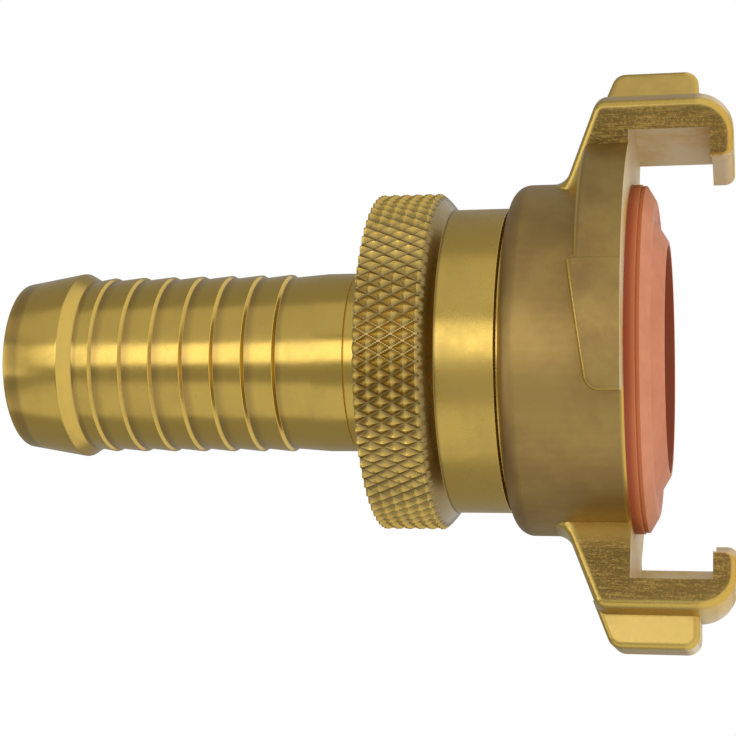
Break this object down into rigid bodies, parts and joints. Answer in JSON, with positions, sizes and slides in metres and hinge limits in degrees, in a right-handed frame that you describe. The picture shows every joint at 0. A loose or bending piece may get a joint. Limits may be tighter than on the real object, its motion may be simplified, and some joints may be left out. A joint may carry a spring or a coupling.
{
  "type": "claw hose coupling with swivel tail",
  "caption": "Brass claw hose coupling with a face seal, a knurled nut and a swivelling barbed hose tail.",
  "frame": {"origin": "on the coupling's axis, in the plane of the two claws' front faces", "axes": "+Z along the axis from the claws towards the hose tail, +X towards one claw"},
  "size_m": [0.0624, 0.0476, 0.0794],
  "materials": {
    "head_brass": "hot-pressed brass, tumbled, turned on the hub",
    "tail_brass": "bright turned brass",
    "nut_brass": "turned and knurled brass",
    "seal_rubber": "smooth moulded elastomer, salmon",
    "o_ring_rubber": "smooth moulded elastomer, black",
    "slip_plastic": "natural acetal"
  },
  "bodies": {
    "head": {"coupling_head": "head_brass", "face_seal": "seal_rubber", "front_slip_washer": "slip_plastic"},
    "tail": {"hose_tail": "tail_brass", "spigot_o_ring": "o_ring_rubber"},
    "nut_carrier": {"back_slip_washer": "slip_plastic"},
    "nut": {"knurled_nut": "nut_brass"}
  },
  "joints": [
    {"name": "tail_swivel", "type": "hinge", "parent": "head", "child": "tail", "pos_m": [0, 0, 0.02], "axis": [0, 0, 1], "continuous": true},
    {"name": "nut_travel", "type": "slide", "parent": "head", "child": "nut_carrier", "axis": [0, 0, 1], "range_m": [0, 0.0015]},
    {"name": "nut_turn", "type": "hinge", "parent": "nut_carrier", "child": "nut", "pos_m": [0, 0, 0.02], "axis": [0, 0, 1], "range_deg": [0, 361]}
  ],
  "couplings": [
    {"joint": "nut_turn", "follows": "nut_travel", "rad_per_m": 4188.8}
  ]
}
